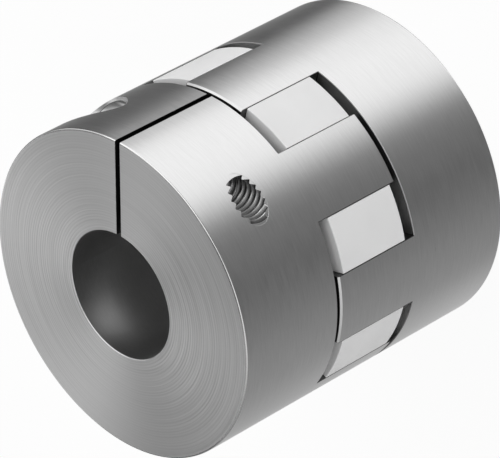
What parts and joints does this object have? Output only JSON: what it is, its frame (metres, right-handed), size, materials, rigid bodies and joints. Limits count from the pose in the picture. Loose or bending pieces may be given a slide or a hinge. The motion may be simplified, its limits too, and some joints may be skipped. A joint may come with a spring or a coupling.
{
  "type": "shaft coupling",
  "caption": "Cylindrical shaft coupling: slit clamping hubs mesh by their jaws through a moulded elastomer spider, and a cross screw tightens each hub on its shaft.",
  "frame": {"origin": "centre of the rear hub's end face, which the part stands on", "axes": "+Z along the shaft axis from the rear hub to the front hub, +Y through the front hub's clamping slit"},
  "size_m": [0.056, 0.056, 0.058],
  "materials": {
    "hub_aluminium": "turned, satin",
    "spider_elastomer": "smooth moulded, satin",
    "screw_steel": "zinc plated"
  },
  "bodies": {
    "root": {"front_hub": "hub_aluminium", "rear_hub": "hub_aluminium", "spider": "spider_elastomer", "front_clamp_screw": "screw_steel", "rear_clamp_screw": "screw_steel"}
  },
  "joints": []
}
